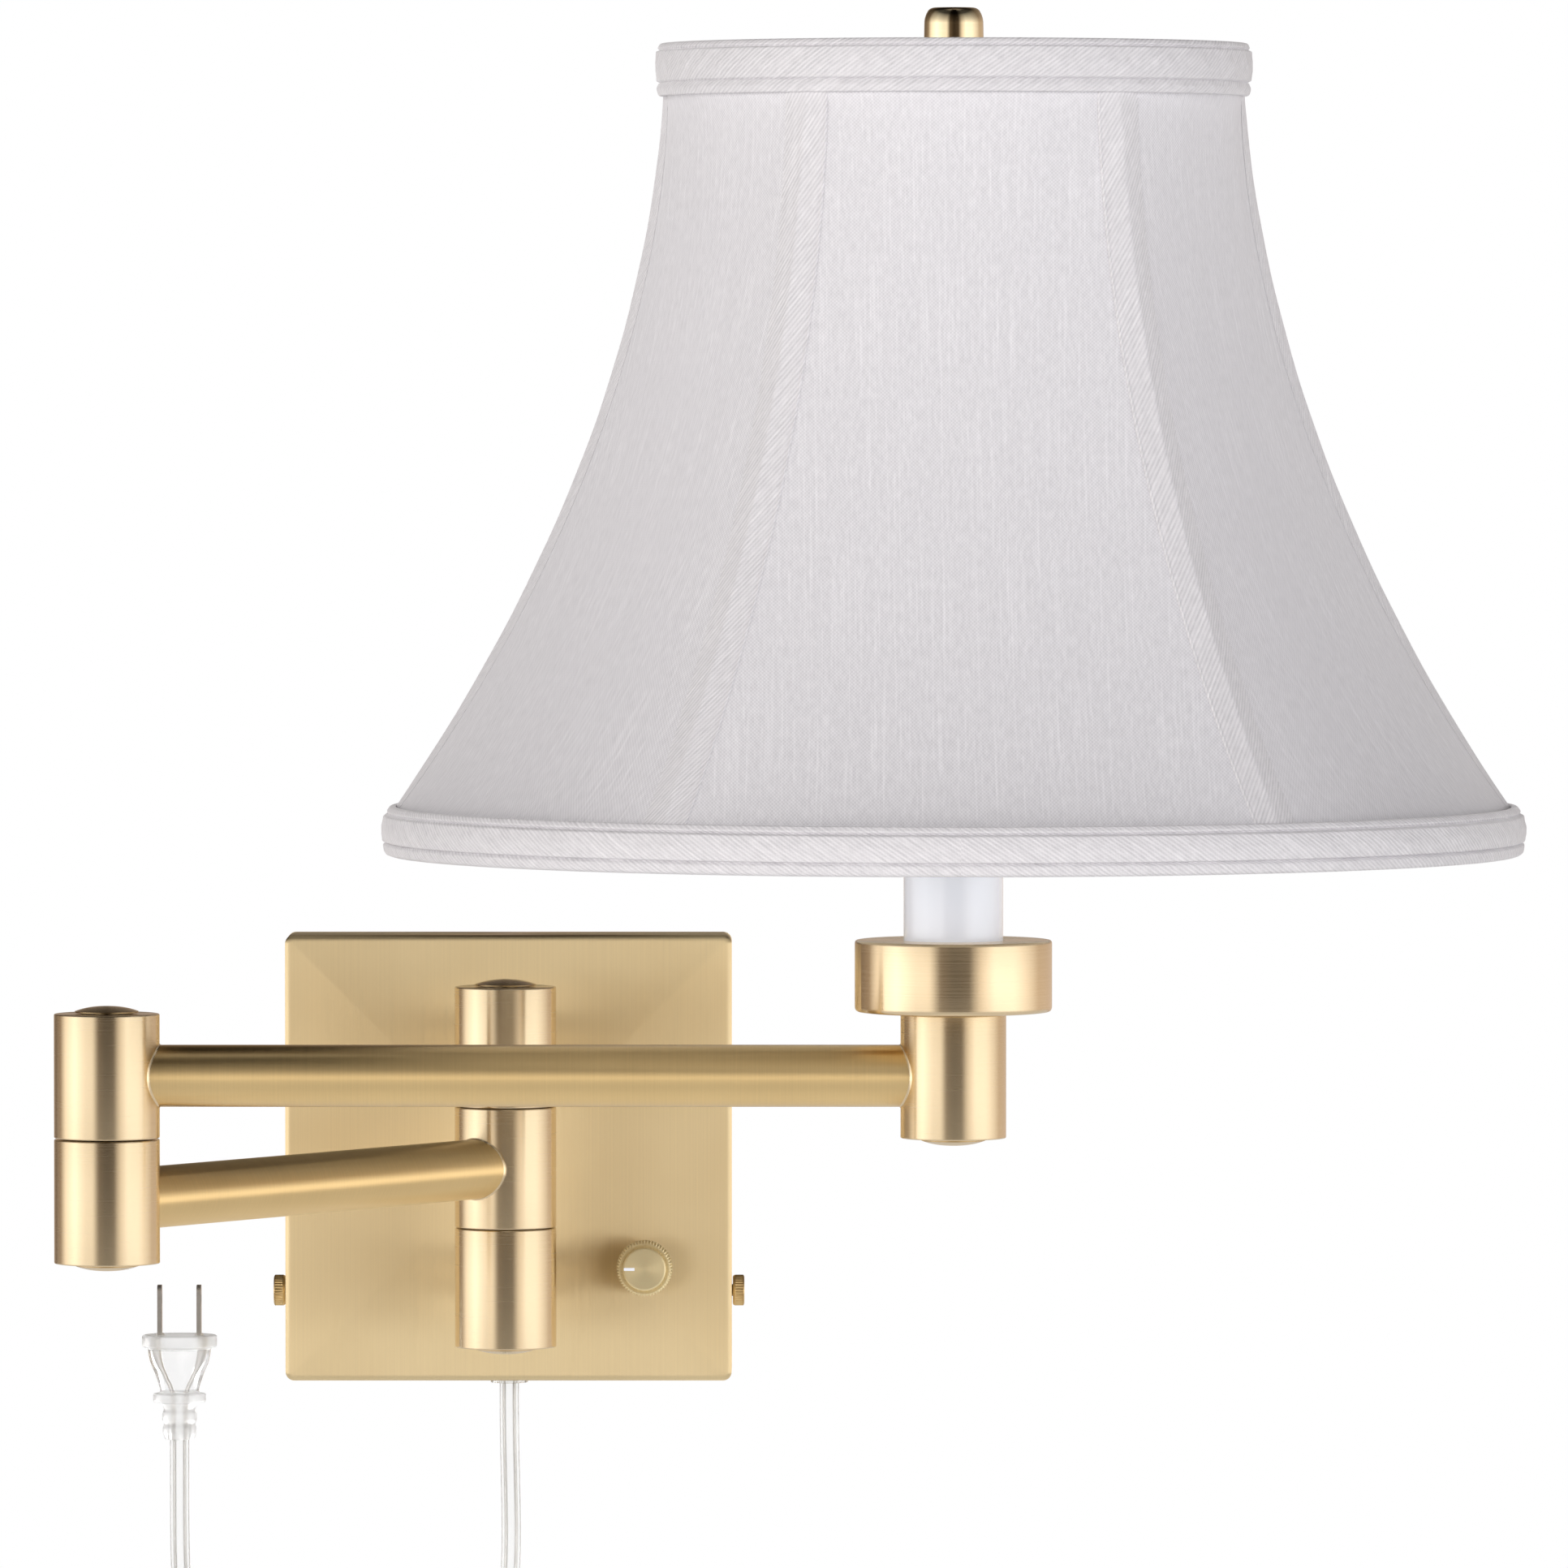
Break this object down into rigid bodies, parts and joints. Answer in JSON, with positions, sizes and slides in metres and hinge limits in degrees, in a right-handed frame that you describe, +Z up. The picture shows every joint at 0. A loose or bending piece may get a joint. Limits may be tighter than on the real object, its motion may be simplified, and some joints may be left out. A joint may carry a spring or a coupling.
{
  "type": "swing arm wall sconce",
  "caption": "Plug-in wall sconce: square brass plate with a knob dimmer, two-part swing arm on stacked barrel swivels, and a paneled bell shade.",
  "frame": {"origin": "middle of the wall plate's back, on the wall, and level with the lower arm's axis", "axes": "+Y into the wall, +Z up, +X to the right as seen from the front; the lamp's front faces -Y"},
  "size_m": [0.4509, 0.4071, 0.5931],
  "materials": {
    "satin_brass": "satin, finely brushed, warm gold",
    "polished_brass": "polished",
    "zinc_steel": "zinc plated",
    "white_plastic": "glossy white",
    "black_plastic": "matte",
    "clear_plastic": "clear, glossy",
    "nylon": "matte",
    "linen": "slubbed silk-like cloth, pale lavender grey",
    "trim_linen": "the same cloth cut on the bias",
    "bulb_glass": "frosted"
  },
  "bodies": {
    "wall_plate": {"wall_bracket": "zinc_steel", "backplate_cover": "satin_brass", "standoff_upper": "satin_brass", "standoff_lower": "satin_brass", "standoff_nut_upper": "zinc_steel", "standoff_nut_lower": "zinc_steel", "column_top_barrel": "satin_brass", "column_bottom_barrel": "satin_brass", "column_pivot_tube": "zinc_steel", "column_cap_top": "satin_brass", "column_cap_bottom": "satin_brass", "dimmer_body": "black_plastic", "dimmer_nut": "zinc_steel", "wire_connector_left": "clear_plastic", "wire_connector_right": "clear_plastic", "cord_grommet": "clear_plastic", "cord_lead": "clear_plastic", "cord_coil": "clear_plastic", "cord_tie": "white_plastic", "cord_tail": "clear_plastic", "plug_body": "clear_plastic", "plug_blade_left": "zinc_steel", "plug_blade_right": "zinc_steel"},
    "dimmer_knob": {"dimmer_knob": "satin_brass"},
    "thumbscrew_left": {"thumbscrew_left": "satin_brass"},
    "thumbscrew_right": {"thumbscrew_right": "satin_brass"},
    "lower_arm": {"lower_arm_hub": "satin_brass", "hub_bushing": "nylon", "lower_arm_tube": "satin_brass", "elbow_lower_barrel": "satin_brass", "elbow_pivot_tube": "zinc_steel", "elbow_cap_bottom": "satin_brass", "elbow_cap_top": "satin_brass"},
    "upper_arm": {"elbow_upper_barrel": "satin_brass", "elbow_bushing": "nylon", "upper_arm_tube": "satin_brass", "socket_barrel": "satin_brass", "socket_barrel_cap": "satin_brass", "socket_nipple": "zinc_steel", "socket_cup": "satin_brass", "candle_sleeve": "white_plastic", "harp_saddle": "satin_brass", "harp": "satin_brass", "socket_shell": "polished_brass", "socket_insert": "black_plastic", "bulb_base": "zinc_steel", "bulb_glass": "bulb_glass"},
    "shade": {"shade_cover": "linen", "shade_tape_front_left": "trim_linen", "shade_tape_front_right": "trim_linen", "shade_tape_right": "trim_linen", "shade_tape_back_right": "trim_linen", "shade_tape_back_left": "trim_linen", "shade_tape_left": "trim_linen", "shade_top_trim": "trim_linen", "shade_bottom_trim": "trim_linen", "shade_frame": "zinc_steel", "shade_spider": "satin_brass"},
    "finial": {"finial": "polished_brass"}
  },
  "joints": [
    {"name": "base_swivel", "type": "hinge", "parent": "wall_plate", "child": "lower_arm", "pos_m": [0, -0.067, 0], "axis": [0, 0, 1], "range_deg": [-44, 116]},
    {"name": "elbow_swivel", "type": "hinge", "parent": "lower_arm", "child": "upper_arm", "pos_m": [-0.11869, -0.23193, 0.0385], "axis": [0, 0, 1], "range_deg": [-265, 14]},
    {"name": "shade_turn", "type": "hinge", "parent": "upper_arm", "child": "shade", "pos_m": [0.14081, -0.23193, 0.3434], "axis": [0, 0, 1], "continuous": true},
    {"name": "finial_turn", "type": "hinge", "parent": "upper_arm", "child": "finial", "pos_m": [0.14081, -0.23193, 0.355], "axis": [0, 0, 1], "continuous": true},
    {"name": "dimmer_turn", "type": "hinge", "parent": "wall_plate", "child": "dimmer_knob", "pos_m": [0.044, -0.033, -0.035], "axis": [0, 1, 0], "range_deg": [-30, 270]},
    {"name": "thumbscrew_left_turn", "type": "hinge", "parent": "wall_plate", "child": "thumbscrew_left", "pos_m": [-0.0745, -0.0125, -0.0435], "axis": [-1, 0, 0], "continuous": true},
    {"name": "thumbscrew_right_turn", "type": "hinge", "parent": "wall_plate", "child": "thumbscrew_right", "pos_m": [0.0745, -0.0125, -0.0435], "axis": [1, 0, 0], "continuous": true}
  ]
}
